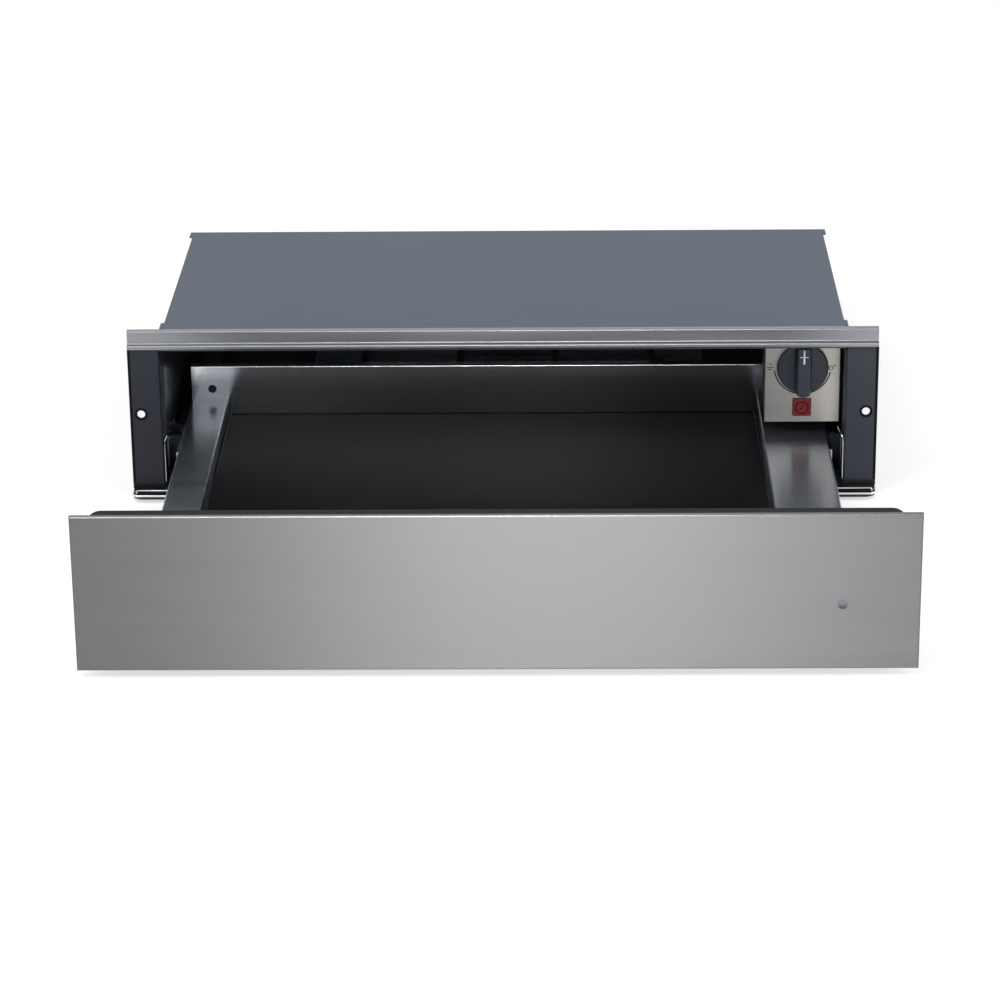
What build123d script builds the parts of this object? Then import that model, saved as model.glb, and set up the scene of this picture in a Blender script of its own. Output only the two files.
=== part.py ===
from build123d import *
import os

# Built-in warming drawer for a 600 mm cabinet column, drawn with the drawer pulled out.
# Millimetres. +Z is up, +Y is towards the wall behind, -Y faces the user, +X is to the user's right.
# The origin is the centre of the base plate's underside.

os.makedirs("parts", exist_ok=True)

# ---------------------------------------------------------------- driving dimensions
# Carcass: the folded steel box that stands in the cabinet niche
sheet = 1.0  # every folded steel sheet unless it has its own thickness
sheet_bend = 1.4  # outside radius of a fold
carcass_width = 547.0  # over the side walls
carcass_depth = 460.0  # mounting flange face to back
carcass_height = 124.0  # top face of the cover
upper_depth = 320.0  # depth of the full-height part, the low rear bay follows
bay_height = 74.0  # roof of the low rear bay
base_lip = 12.0  # upturned edges of the base plate
wall_lip, wall_setback = 3.5, 1.5  # inturned upper edges of the walls, and their front behind the flanges
cover_lip = 14.0  # downturned edges of the cover
cover_upstand = 13.5  # front edge of the cover that carries the trim
cover_ear = 2.2  # small tabs that stand out of the cover's side edges
ear_length, front_ear = 14.0, 62.0  # length of a tab, and the place of the front pair
cover_fit = 0.4  # air between the cover's side edges and the walls
rear_lip = 34.0  # fold of the step panel that the cover is screwed to
step_foot = 14.0  # fold of the step panel that stands on the bay's roof
cover_screw_side, cover_screw_inset = 54.0, 18.0  # from the cover's side, and from its back edge
cover_screw_radius, cover_head_radius, cover_screw_gap = 1.75, 2.6, 0.05
vent_width, vent_pitch = 4.0, 12.0  # every ventilation slot
base_vent_length, base_vent_side, base_vents = 34.0, 73.0, 9
wall_vent_length, wall_vent_inset, wall_vent_drop, wall_vents = 17.0, 85.5, 33.6, 7
step_vent_length, step_vents = 23.8, 21
rivet_radius, rivet_height, rivet_inset, rivets_per_side = 2.6, 1.1, 36.8, 4

# Front frame
flange_width = 25.0  # face of each mounting flange
flange_bottom = 5.0
flange_tab = 28.0  # depth of the edge that turns back along the wall
flange_hole_inset, flange_hole_height, flange_hole_radius = 8.5, 70.5, 3.15
trim_gap = 1.0  # cover to trim
trim_height = 15.0
trim_lip_height, trim_lip_depth, trim_bend = 4.0, 3.5, 1.1
trim_return = 5.0
rail_reach, rail_height, rail_corner, rail_tab = 14.6, 6.0, 9.0, 14.0

# Drawer travel and front panel
tray_back = 120.0  # tray's back wall behind the flange face, drawer fully out
panel_overhang = 1.0  # panel past the frame on each side
panel_foot, panel_head = 5.6, 2.4  # panel's lower edge over the base, and its upper edge under the trim
panel_fold = 4.0  # depth of the stainless pan
panel_hem = 11.0  # inturned edge on the back of the pan
panel_edge = 1.2
core_gap = 0.5  # round the stiffening board
liner_side, liner_head = 9.5, 2.0  # from the panel's sides and its upper edge to the liner's
liner_foot = 3.0  # liner's lower edge over the rail
liner_thickness, liner_wall, liner_corner, liner_edge = 15.0, 1.6, 11.0, 1.5
liner_rim = 12.0  # full-thickness rim round the liner's hollow
gasket_depth, gasket_inset, gasket_edge = 7.5, 3.0, 2.0
gasket_leg_gap, gasket_top_band = 7.0, 9.0  # from the tray's side, and width of the top band
closing_gap = 0.5  # seal to flange with the drawer shut
lamp_side, lamp_z = 54.6, 54.8  # from the panel's right edge, and over the base
lamp_radius, lamp_gap, lamp_proud, lamp_edge = 3.5, 0.1, 0.6, 0.5
lamp_holder_radius, lamp_holder_depth = 6.0, 12.0

# Tray
spacer_depth = 9.3  # fixed slide member to wall
floor_z = 25.0  # top of the pan floor
pan_share = 0.115  # depth of the pan as a share of the carcass height
ledge_drop, ledge_overhang = 5.0, 9.5  # folded edge of each ledge, and how far the ledge covers the slide
skirt_bottom = 8.0
left_ledge, right_ledge = 30.0, 52.0
tray_rear_gap = 11.0  # tray's back wall to the rear panel, drawer shut
back_wall_gap, back_wall_hem = 3.5, 8.0  # under the bay's roof, and depth of the top hem
back_screw_inset, back_screw_rise, back_hole_radius = 17.0, 10.0, 3.65
back_head_gap, back_head_height, hex_socket_radius, hex_socket_depth = 0.35, 0.9, 1.6, 0.7
tray_bend = 1.6
plate_thickness, plate_gap, plate_corner = 2.0, 1.7, 1.5
bracket_steel, bracket_bend, bracket_inset = 2.0, 2.5, 2.5
bracket_face, bracket_arm, bracket_screw_inset, bracket_screw_end = 17.0, 55.0, 9.5, 5.0
rear_bracket_width, rear_bracket_height, rear_bracket_corner = 24.0, 28.0, 3.0
screw_radius, screw_head_radius, screw_head_height = 2.0, 3.8, 2.0

# Three-quarter extension ball slides
slide_start = 15.0  # each end of the fixed member inside the carcass
slide_z = 20.0
slide_thickness = 12.7
slide_steel, slide_bend = 1.2, 1.0
outer_half_height, outer_flange, outer_lip = 12.5, 9.5, 2.2
inner_half_height, inner_flange = 7.5, 9.1
ball_clearance, ball_inset = 0.15, 5.6
cage_length, cage_start, cage_steel, cage_bend = 90.0, 20.0, 0.8, 0.9
cage_web_gap, cage_flange = 1.0, 5.7
balls_per_row = 3
ball_end = 14.0  # first ball from the end of the cage
ball_hole_gap = 0.2
spacer_inset = 62.0  # each hat bracket from the front or the back
spacer_height, spacer_foot, spacer_crown = 22.0, 8.0, 18.0

# Control box with thermostat and switch
fascia_width, fascia_gap = 60.2, 2.2  # and its distance from the right flange's inner edge
fascia_setback, fascia_steel, fascia_bevel = 30.2, 1.2, 0.54
box_depth, box_inset = 42.0, 0.8
knob_drop = 25.8  # knob's axis under the cover
knob_radius, knob_skirt, knob_gap, knob_edge = 20.6, 3.2, 2.4, 1.2
knob_height, knob_tip = 15.0, 22.2
grip_width, grip_tip_width, grip_rise, grip_reach = 14.8, 12.6, 23.0, 18.5
grip_taper, grip_round, grip_edge = 9.0, 2.0, 0.9
index_length, index_width, index_depth, index_rise = 11.4, 1.4, 0.4, 14.1
index_cross, index_cross_width = 6.5, 0.7  # short stroke across the index line
shaft_radius, shaft_clearance, shaft_seat, shaft_end_gap = 3.0, 0.05, 12.0, 1.0
bush_radius, bush_reach = 4.6, 1.6
thermostat_radius, thermostat_depth, thermostat_edge = 16.0, 22.0, 2.5
thermostat_bore = 13.2  # how deep the shaft's bore goes in from the front plate
blade_width, blade_thickness, blade_length = 6.3, 0.8, 7.0  # spade terminals
blade_spacing, blade_rise, switch_blade_spacing = 10.0, 8.0, 5.5
button_drop = 33.6  # button's axis under the knob's
button_width, button_height, button_travel, button_proud = 14.4, 14.4, 2.0, 2.4
button_gap, button_corner, button_edge = 0.3, 0.8, 0.6
fascia_foot = 13.0  # button's axis to the fascia's lower edge
switch_wall, switch_depth, switch_well = 1.8, 22.0, 11.0

# Heating in the base
reflector_width, reflector_front, reflector_back, reflector_height = 344.0, 40.0, 50.0, 4.0
element_radius, element_z = 3.25, 12.0
element_runs, element_pitch, element_bend = 4, 84.0, 38.0
element_front, element_back, element_exit = 75.0, 95.0, 64.0  # bends from the front, bends and ends from the back
support_steel, support_clearance, support_pitch, support_margin = 2.0, 0.1, 90.0, 15.0
ceramic_radius, ceramic_length, pin_radius, pin_length = 4.6, 20.0, 1.8, 9.0
cutout_plate_length, cutout_plate_width, cutout_plate_steel = 34.0, 14.0, 0.8
cutout_radius, cutout_height, cutout_edge = 7.0, 6.0, 1.0
cutout_screw_radius, cutout_screw_height, cutout_screw_spacing = 2.0, 1.5, 26.0
bulb_radius, bulb_length, bulb_z, bulb_end = 3.0, 80.0, 9.0, 1.8
saddle_width, saddle_length, saddle_spacing = 10.0, 6.0, 48.0

# Mains connection, push latch and buffers at the rear
gland_inset, gland_z = 58.0, 12.0  # gland's axis from the wall
gland_bore, gland_thread, gland_collar, gland_nut_width = 4.0, 6.0, 9.0, 16.0
gland_collar_depth, gland_thread_length, gland_nut_depth, gland_edge = 10.0, 9.0, 5.0, 1.5
block_width, block_length, block_height, block_corner = 42.0, 18.0, 16.0, 1.5
block_inset, block_pitch = 32.0, 12.5  # block's middle from the back
screw_well_radius, screw_well_depth = 3.2, 6.0
wire_hole_radius, wire_hole_depth, wire_hole_rise = 2.2, 14.4, 5.1
latch_inset, latch_width, latch_height, latch_corner = 83.0, 26.0, 17.0, 2.0
latch_length, latch_back_gap, latch_back_wall, latch_z = 31.0, 4.0, 6.0, 11.0
plunger_radius, plunger_reach, plunger_travel, plunger_gap = 3.5, 6.7, 5.0, 0.1
plunger_end_gap, plunger_edge = 1.0, 1.2
striker_gap, striker_steel, striker_bend = 0.3, 1.5, 2.0
striker_width, striker_foot, striker_drop = 22.0, 24.0, 3.0  # and how far it reaches below the latch's axis
buffer_radius, buffer_x, buffer_z = 6.0, 150.0, 48.0

# ---------------------------------------------------------------- places worked out from them
front_y = -carcass_depth / 2
back_y = carcass_depth / 2
step_y = front_y + upper_depth
half_width = carcass_width / 2
wall_inner = half_width - sheet
cover_under = carcass_height - sheet
cover_screw_x = half_width - cover_screw_side
cover_head_depth = cover_head_radius - cover_screw_radius  # a 90 degree countersink
cover_screw_points = [(side * cover_screw_x, step_y - cover_screw_inset) for side in (-1, 1)]

flange_inner_x = wall_inner - sheet
half_frame = flange_inner_x + flange_width
frame_width = 2 * half_frame
flange_hole_x = half_frame - flange_hole_inset
trim_bottom = carcass_height + trim_gap
frame_height = trim_bottom + trim_height

panel_width = frame_width + 2 * panel_overhang
panel_bottom, panel_top = panel_foot, trim_bottom - panel_head
panel_height = panel_top - panel_bottom
panel_centre_z = (panel_bottom + panel_top) / 2
liner_width = panel_width - 2 * liner_side
liner_bottom, liner_top = sheet + rail_height + liner_foot, panel_top - liner_head
liner_height = liner_top - liner_bottom

lamp_x = panel_width / 2 - lamp_side

travel = carcass_depth - sheet - tray_rear_gap - tray_back  # from fully out to shut
seal_y = front_y - closing_gap - travel
tray_front_y = seal_y - gasket_depth
liner_y = tray_front_y - liner_thickness
panel_y = liner_y - panel_fold
tray_back_y = front_y + tray_back

half_skirt = wall_inner - spacer_depth - slide_thickness
half_tray = half_skirt + ledge_overhang
tray_width = 2 * half_tray
rim_z = floor_z + pan_share * carcass_height  # top of the side ledges
ledge_under = rim_z - ledge_drop
back_wall_top = bay_height - sheet - back_wall_gap
back_screw_x, back_screw_z = half_tray - back_screw_inset, rim_z + back_screw_rise
bracket_low, bracket_high = skirt_bottom + bracket_inset, rim_z - bracket_inset
slide_length = carcass_depth - 2 * slide_start

fascia_right = flange_inner_x - fascia_gap
fascia_left = fascia_right - fascia_width
control_x = (fascia_left + fascia_right) / 2  # one upright line for knob and button
knob_z = cover_under - knob_drop
button_z = knob_z - button_drop
fascia_bottom = button_z - fascia_foot

gland_x = wall_inner - gland_inset
latch_x = latch_inset - wall_inner
SIDES = (("left", -1), ("right", 1))


# ---------------------------------------------------------------- shared forms
def facing(y):
    """Upright plane at depth y: sketch axes are X and Z, and a positive extrusion comes forward."""
    return Plane.XZ.offset(-y)


def folded(points, thickness=sheet, side=Side.RIGHT, bend=sheet_bend):
    """Section of a sheet folded along the given outer outline, with rounded folds."""
    with BuildSketch(Plane.XY) as section:
        with BuildLine():
            FilletPolyline(*points, radius=bend)
            offset(amount=thickness, side=side)
        make_face()
    return section.sketch


def save(piece, name):
    """Label the finished piece and write it as its own file."""
    piece.part.label = name
    export_step(piece.part, f"parts/{name}.step")


# ---------------------------------------------------------------- carcass
# Base plate: a shallow folded pan with rows of ventilation slots outside the heater.
with BuildPart() as base_plate:
    with BuildSketch(facing(front_y + sheet)):
        add(folded([(-wall_inner, base_lip), (-wall_inner, 0), (wall_inner, 0), (wall_inner, base_lip)],
                   side=Side.LEFT))
    extrude(amount=-(carcass_depth - sheet))
    with BuildSketch(Plane.XY.offset(sheet)):
        with GridLocations(2 * (half_width - base_vent_side), vent_pitch, 2, base_vents):
            SlotOverall(base_vent_length, vent_width)
    extrude(amount=-sheet, mode=Mode.SUBTRACT)
    # The upturned edges end in front of the rear panel.
    with BuildSketch(Plane.XY.offset(sheet)):
        with Locations((0, back_y)):
            Rectangle(carcass_width, 2 * sheet)
    extrude(amount=base_lip, mode=Mode.SUBTRACT)
save(base_plate, "base_plate")

# Side walls: stepped down at the rear bay, with an inturned lip under the cover.
for name, side in SIDES:
    with BuildPart() as wall:
        with BuildSketch(Plane.YZ.offset(side * wall_inner)):
            with BuildLine():
                Polyline((front_y + wall_setback, 0), (back_y, 0), (back_y, bay_height), (step_y, bay_height),
                         (step_y, cover_under), (front_y + wall_setback, cover_under), close=True)
            make_face()
            with Locations((step_y - wall_vent_inset, carcass_height - wall_vent_drop)):
                with GridLocations(vent_pitch, 0, wall_vents, 1):
                    SlotOverall(wall_vent_length, vent_width, rotation=90, mode=Mode.SUBTRACT)
        extrude(amount=side * sheet)
        with BuildSketch(Plane.XY.offset(cover_under)):
            with Locations((side * (wall_inner - wall_lip / 2), (front_y + step_y) / 2)):
                Rectangle(wall_lip, upper_depth - rear_lip * 2 - 2 * sheet)
        extrude(amount=-sheet)
    save(wall, f"{name}_wall")

# Rear panel: flat back of the low bay, with the hole for the cable gland.
with BuildPart() as rear_panel:
    with BuildSketch(facing(back_y)):
        with Locations((0, sheet)):
            Rectangle(2 * wall_inner, bay_height - sheet, align=(Align.CENTER, Align.MIN))
        with Locations((gland_x, gland_z)):
            Circle(gland_thread, mode=Mode.SUBTRACT)
    extrude(amount=sheet)
save(rear_panel, "rear_panel")

# Roof of the low bay.
with BuildPart() as bay_roof:
    with BuildSketch(Plane.XY.offset(bay_height)):
        with Locations((0, step_y - sheet)):
            Rectangle(2 * wall_inner, back_y - step_y, align=(Align.CENTER, Align.MIN))
    extrude(amount=-sheet)
save(bay_roof, "bay_roof")

# Step panel: stands on the roof by a folded foot and carries the back of the cover on its lip.
with BuildPart() as step_panel:
    with BuildSketch(Plane.YZ.offset(-wall_inner)):
        add(folded([(step_y + step_foot, bay_height + sheet), (step_y, bay_height + sheet),
                    (step_y, cover_under), (step_y - rear_lip, cover_under)], side=Side.LEFT))
    extrude(amount=2 * wall_inner)
    with BuildSketch(facing(step_y)):
        with Locations((0, (bay_height + carcass_height) / 2 + sheet)):
            with GridLocations(vent_pitch, 0, step_vents, 1):
                SlotOverall(step_vent_length, vent_width, rotation=90)
    extrude(amount=sheet, mode=Mode.SUBTRACT)
    with BuildSketch(Plane.XY.offset(cover_under)):
        with Locations(*cover_screw_points):
            Circle(cover_screw_radius)
    extrude(amount=-sheet, mode=Mode.SUBTRACT)
save(step_panel, "step_panel")

# Cover: flat top with downturned sides, small ears, and an upstand at the front for the trim.
with BuildPart() as top_cover:
    with BuildSketch(facing(front_y + sheet)):
        outer = half_width + cover_fit + sheet
        add(folded([(-outer, carcass_height - cover_lip), (-outer, carcass_height),
                    (outer, carcass_height), (outer, carcass_height - cover_lip)]))
    extrude(amount=-(upper_depth - sheet))
    with BuildSketch(facing(front_y + sheet)):
        with Locations((0, carcass_height - sheet)):
            Rectangle(carcass_width, cover_upstand + sheet, align=(Align.CENTER, Align.MIN))
    extrude(amount=-sheet)
    with BuildSketch(Plane.XY.offset(carcass_height)):
        for side in (-1, 1):
            with Locations((side * outer, step_y - ear_length / 2), (side * outer, front_y + front_ear)):
                Rectangle(2 * cover_ear, ear_length)
    extrude(amount=-sheet)
    # Countersunk holes for the screws near the back edge.
    with BuildSketch(Plane.XY.offset(carcass_height)):
        with Locations(*cover_screw_points):
            Circle(cover_head_radius + cover_screw_gap)
    extrude(amount=-cover_head_depth, taper=45, mode=Mode.SUBTRACT)
    with BuildSketch(Plane.XY.offset(carcass_height)):
        with Locations(*cover_screw_points):
            Circle(cover_screw_radius + cover_screw_gap)
    extrude(amount=-sheet, mode=Mode.SUBTRACT)
save(top_cover, "top_cover")

# Screws whose heads lie flush, so that something flat can stand on the cover.
with BuildPart() as cover_screws:
    with BuildSketch(Plane.XY.offset(carcass_height)):
        with Locations(*cover_screw_points):
            Circle(cover_head_radius)
    extrude(amount=-cover_head_depth, taper=45)
    with BuildSketch(Plane.XY.offset(carcass_height)):
        with Locations(*cover_screw_points):
            Circle(cover_screw_radius)
    extrude(amount=-2 * sheet)
save(cover_screws, "cover_screws")

# Rivets that hold the walls to the upturned edges of the base plate.
rivet_pitch = (carcass_depth - 2 * rivet_inset) / (rivets_per_side - 1)
rivet_depths = [front_y + rivet_inset + rivet_pitch * n for n in range(rivets_per_side)]
with BuildPart() as carcass_rivets:
    for side in (-1, 1):
        with BuildSketch(Plane.YZ.offset(side * half_width)):
            with Locations(*[(y, base_lip / 2) for y in rivet_depths]):
                Circle(rivet_radius)
        extrude(amount=side * rivet_height, taper=25)
save(carcass_rivets, "carcass_rivets")

# ---------------------------------------------------------------- front frame
# Top trim: one stainless strip with a return on top and a lip that stands out below.
with BuildPart() as top_trim:
    lip_top = trim_bottom + trim_lip_height
    with BuildSketch(Plane.YZ.offset(-half_frame)):
        add(folded([(front_y + trim_return, frame_height), (front_y, frame_height), (front_y, lip_top),
                    (front_y - trim_lip_depth, lip_top), (front_y - trim_lip_depth, trim_bottom),
                    (front_y + sheet, trim_bottom)], side=Side.LEFT, bend=trim_bend))
    extrude(amount=frame_width)
save(top_trim, "top_trim")

# Mounting flanges: face plate with an edge that turns back along the inside of the wall.
for name, side in SIDES:
    with BuildPart() as flange:
        with BuildSketch(Plane.XY.offset(flange_bottom)):
            add(folded([(side * half_frame, front_y), (side * flange_inner_x, front_y),
                        (side * flange_inner_x, front_y + flange_tab)],
                       side=Side.RIGHT if side > 0 else Side.LEFT))
        extrude(amount=trim_bottom - flange_bottom)
        # The turned edge stops above the base plate's edge and below the cover.
        with BuildSketch(Plane.XY.offset(flange_bottom)):
            with Locations((side * wall_inner, front_y + sheet)):
                Rectangle(4 * sheet, flange_tab, align=(Align.CENTER, Align.MIN))
        extrude(amount=base_lip + sheet - flange_bottom, mode=Mode.SUBTRACT)
        with BuildSketch(Plane.XY.offset(trim_bottom)):
            with Locations((side * wall_inner, front_y + sheet)):
                Rectangle(4 * sheet, flange_tab, align=(Align.CENTER, Align.MIN))
        extrude(amount=-(trim_bottom - cover_under + 1.5 * sheet), mode=Mode.SUBTRACT)
        with BuildSketch(facing(front_y)):
            with Locations((side * flange_hole_x, flange_hole_height)):
                Circle(flange_hole_radius)
        extrude(amount=-sheet, mode=Mode.SUBTRACT)
    save(flange, f"{name}_mounting_flange")

# Bottom rail: a shallow bright channel with rounded ends, fixed on the base plate.
with BuildPart() as bottom_rail:
    rail_front = front_y - rail_reach
    with BuildSketch(Plane.XY.offset(sheet)) as rail_outline:
        with Locations((0, rail_front)):
            Rectangle(frame_width, rail_reach - closing_gap, align=(Align.CENTER, Align.MIN))
        fillet(rail_outline.vertices().group_by(Axis.Y)[0], radius=rail_corner)
    extrude(amount=rail_height)
    with BuildSketch(Plane.XY.offset(2 * sheet)) as rail_pocket:
        with Locations((0, rail_front + sheet)):
            Rectangle(frame_width - 2 * sheet, rail_reach, align=(Align.CENTER, Align.MIN))
        fillet(rail_pocket.vertices().group_by(Axis.Y)[0], radius=rail_corner - sheet)
    extrude(amount=rail_height, mode=Mode.SUBTRACT)
    with BuildSketch(Plane.XY.offset(sheet)):
        with Locations((0, front_y - closing_gap)):
            Rectangle(carcass_width - 2 * base_lip, rail_tab, align=(Align.CENTER, Align.MIN))
    extrude(amount=sheet)
save(bottom_rail, "bottom_rail")

# ---------------------------------------------------------------- control box
fascia_y = front_y + fascia_setback
box_front = fascia_y + fascia_steel
box_width = fascia_width - 2 * box_inset
box_bottom = fascia_bottom + box_inset
box_centre = (control_x, (box_bottom + cover_under) / 2)

with BuildPart() as control_fascia:
    with BuildSketch(facing(box_front)):
        with Locations((control_x, fascia_bottom)):
            Rectangle(fascia_width, cover_under - fascia_bottom, align=(Align.CENTER, Align.MIN))
    extrude(amount=fascia_steel)
    rim = control_fascia.faces().sort_by(Axis.Y)[0].edges()
    chamfer(rim, length=fascia_bevel)
    with BuildSketch(facing(fascia_y)):
        with Locations((control_x, knob_z)):
            Circle(bush_radius)
        with Locations((control_x, button_z)):
            Rectangle(button_width + 2 * button_gap, button_height + 2 * button_gap)
    extrude(amount=-fascia_steel, mode=Mode.SUBTRACT)
save(control_fascia, "control_fascia")

with BuildPart() as control_box:
    with BuildSketch(facing(box_front + box_depth)):
        with Locations(box_centre):
            RectangleRounded(box_width, cover_under - box_bottom, sheet_bend)
    extrude(amount=box_depth)
    with BuildSketch(facing(box_front + box_depth - sheet)):
        with Locations(box_centre):
            Rectangle(box_width - 2 * sheet, cover_under - box_bottom - 2 * sheet)
    extrude(amount=box_depth, mode=Mode.SUBTRACT)
save(control_box, "control_box")

# Thermostat: capsule behind the fascia, with a bush that the shaft turns in.
with BuildPart() as thermostat_body:
    with BuildSketch(facing(box_front)):
        with Locations((control_x, knob_z)):
            Circle(thermostat_radius)
    extrude(amount=-thermostat_depth)
    chamfer(thermostat_body.edges().group_by(Axis.Y)[-1], length=thermostat_edge)
    with BuildSketch(facing(box_front)):
        with Locations((control_x, knob_z)):
            Circle(bush_radius)
    extrude(amount=fascia_steel + bush_reach)
    with BuildSketch(facing(box_front + thermostat_depth)):
        with Locations((control_x, knob_z + blade_rise)):
            with GridLocations(blade_spacing, 0, 2, 1):
                Rectangle(blade_width, blade_thickness)
    extrude(amount=-blade_length)
    with BuildSketch(facing(fascia_y - bush_reach)):
        with Locations((control_x, knob_z)):
            Circle(shaft_radius + shaft_clearance)
    extrude(amount=-(thermostat_bore + fascia_steel + bush_reach), mode=Mode.SUBTRACT)
save(thermostat_body, "thermostat_body")

# Rocker housing: an open sleeve for the button, with three blade terminals behind.
with BuildPart() as switch_body:
    with BuildSketch(facing(box_front)):
        with Locations((control_x, button_z)):
            Rectangle(button_width + 2 * (button_gap + switch_wall),
                      button_height + 2 * (button_gap + switch_wall))
    extrude(amount=-switch_depth)
    with BuildSketch(facing(box_front)):
        with Locations((control_x, button_z)):
            Rectangle(button_width + 2 * button_gap, button_height + 2 * button_gap)
    extrude(amount=-switch_well, mode=Mode.SUBTRACT)
    with BuildSketch(facing(box_front + switch_depth)):
        with Locations((control_x, button_z)):
            with GridLocations(0, switch_blade_spacing, 1, 3):
                Rectangle(blade_width, blade_thickness)
    extrude(amount=-blade_length)
save(switch_body, "switch_body")

with BuildPart() as power_button:
    button_length = switch_well + fascia_steel + button_proud - button_travel - 2 * button_gap
    with BuildSketch(facing(fascia_y - button_proud)):
        with Locations((control_x, button_z)):
            RectangleRounded(button_width, button_height, button_corner)
    extrude(amount=-button_length)
    fillet(power_button.edges().group_by(Axis.Y)[0], radius=button_edge)
save(power_button, "power_button")

# Knob: round skirt with a raised grip that runs out into the pointer.
knob_back = fascia_y - knob_gap
with BuildPart() as control_knob:
    with BuildSketch(facing(knob_back)):
        with Locations((control_x, knob_z)):
            Circle(knob_radius)
    extrude(amount=knob_skirt, taper=8)
    fillet(control_knob.edges().group_by(Axis.Y)[0], radius=knob_edge)
    with BuildSketch(facing(knob_back)) as grip_foot:
        with BuildLine(Plane.XY):
            half_grip, half_tip = grip_width / 2, grip_tip_width / 2
            tip_z = knob_z - knob_tip
            grip_side = Polyline((control_x - half_grip, knob_z + grip_rise),
                                 (control_x - half_grip, knob_z - grip_reach),
                                 (control_x - half_tip, tip_z + grip_round))
            grip_end = ThreePointArc(grip_side @ 1, (control_x, tip_z), (control_x + half_tip, tip_z + grip_round))
            Polyline(grip_end @ 1, (control_x + half_grip, knob_z - grip_reach),
                     (control_x + half_grip, knob_z + grip_rise), grip_side @ 0)
        make_face()
    extrude(amount=knob_height, taper=grip_taper)
    fillet(control_knob.edges().group_by(Axis.Y)[0], radius=grip_edge)
    with BuildSketch(facing(knob_back)):
        with Locations((control_x, knob_z)):
            Circle(shaft_radius)
    extrude(amount=shaft_seat, mode=Mode.SUBTRACT)
save(control_knob, "control_knob")

# White index line with a short cross stroke, printed thick on the grip.
with BuildPart() as knob_index:
    with BuildSketch(facing(knob_back - knob_height)):
        with Locations((control_x, knob_z + index_rise)):
            Rectangle(index_width, index_length)
            Rectangle(index_cross, index_cross_width)
    extrude(amount=index_depth)
save(knob_index, "knob_index")

with BuildPart() as thermostat_shaft:
    shaft_end = box_front + thermostat_bore - shaft_end_gap
    with BuildSketch(facing(shaft_end)):
        with Locations((control_x, knob_z)):
            Circle(shaft_radius)
    extrude(amount=shaft_end - knob_back + shaft_seat)
save(thermostat_shaft, "thermostat_shaft")

# ---------------------------------------------------------------- ball slides
outer_web_x = half_skirt + slide_thickness  # back of the fixed member
outer_track = outer_half_height - slide_steel
ball_radius = (outer_track - inner_half_height) / 2 - ball_clearance
ball_z = (outer_track + inner_half_height) / 2
ball_x = outer_web_x - ball_inset
spacer_bottom = base_lip + sheet

for name, side in SIDES:
    turn = Side.RIGHT if side > 0 else Side.LEFT
    other_turn = Side.LEFT if side > 0 else Side.RIGHT
    # Fixed member: a channel whose edges turn round the balls.
    with BuildPart() as outer_slide:
        lip_x = outer_web_x - outer_flange
        with BuildSketch(facing(front_y + slide_start)):
            add(folded([(side * lip_x, slide_z + outer_half_height - outer_lip),
                        (side * lip_x, slide_z + outer_half_height),
                        (side * outer_web_x, slide_z + outer_half_height),
                        (side * outer_web_x, slide_z - outer_half_height),
                        (side * lip_x, slide_z - outer_half_height),
                        (side * lip_x, slide_z - outer_half_height + outer_lip)],
                       thickness=slide_steel, side=turn, bend=slide_bend))
        extrude(amount=-slide_length)
    save(outer_slide, f"{name}_outer_slide")

    # Moving member, fixed to the skirt of the tray.
    with BuildPart() as inner_slide:
        edge_x = half_skirt + inner_flange
        with BuildSketch(facing(front_y + slide_start - travel)):
            add(folded([(side * edge_x, slide_z + inner_half_height),
                        (side * half_skirt, slide_z + inner_half_height),
                        (side * half_skirt, slide_z - inner_half_height),
                        (side * edge_x, slide_z - inner_half_height)],
                       thickness=slide_steel, side=other_turn, bend=slide_bend))
        extrude(amount=-slide_length)
    save(inner_slide, f"{name}_inner_slide")

    # Ball cage: a thin strip with a round hole for each ball, above and below.
    cage_y = front_y + cage_start
    ball_step = (cage_length - 2 * ball_end) / (balls_per_row - 1)
    ball_depths = [cage_y + ball_end + ball_step * n for n in range(balls_per_row)]
    with BuildPart() as ball_cage:
        web_x = outer_web_x - slide_steel - cage_web_gap
        cage_z = ball_z + cage_steel / 2
        with BuildSketch(facing(cage_y)):
            add(folded([(side * (web_x - cage_flange), slide_z + cage_z), (side * web_x, slide_z + cage_z),
                        (side * web_x, slide_z - cage_z), (side * (web_x - cage_flange), slide_z - cage_z)],
                       thickness=cage_steel, side=turn, bend=cage_bend))
        extrude(amount=-cage_length)
        with BuildSketch(Plane.XY.offset(slide_z + cage_z)):
            with Locations(*[(side * ball_x, y) for y in ball_depths]):
                Circle(ball_radius + ball_hole_gap)
        extrude(amount=-2 * cage_z, mode=Mode.SUBTRACT)
    save(ball_cage, f"{name}_ball_cage")

    with BuildPart() as balls:
        with Locations(*[(side * ball_x, y, slide_z + z) for y in ball_depths for z in (-ball_z, ball_z)]):
            Sphere(ball_radius)
    save(balls, f"{name}_slide_balls")

    # Hat-shaped brackets that hold the fixed member off the wall.
    with BuildPart() as spacers:
        with BuildSketch(Plane.XY.offset(spacer_bottom)):
            for y in (front_y + spacer_inset, back_y - spacer_inset):
                crown_x = outer_web_x + sheet
                half_crown = spacer_crown / 2
                half_hat = half_crown + wall_inner - crown_x
                add(folded([(side * wall_inner, y - half_hat - spacer_foot), (side * wall_inner, y - half_hat),
                            (side * crown_x, y - half_crown), (side * crown_x, y + half_crown),
                            (side * wall_inner, y + half_hat), (side * wall_inner, y + half_hat + spacer_foot)],
                           side=other_turn, bend=slide_bend))
        extrude(amount=spacer_height)
    save(spacers, f"{name}_slide_spacers")

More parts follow.
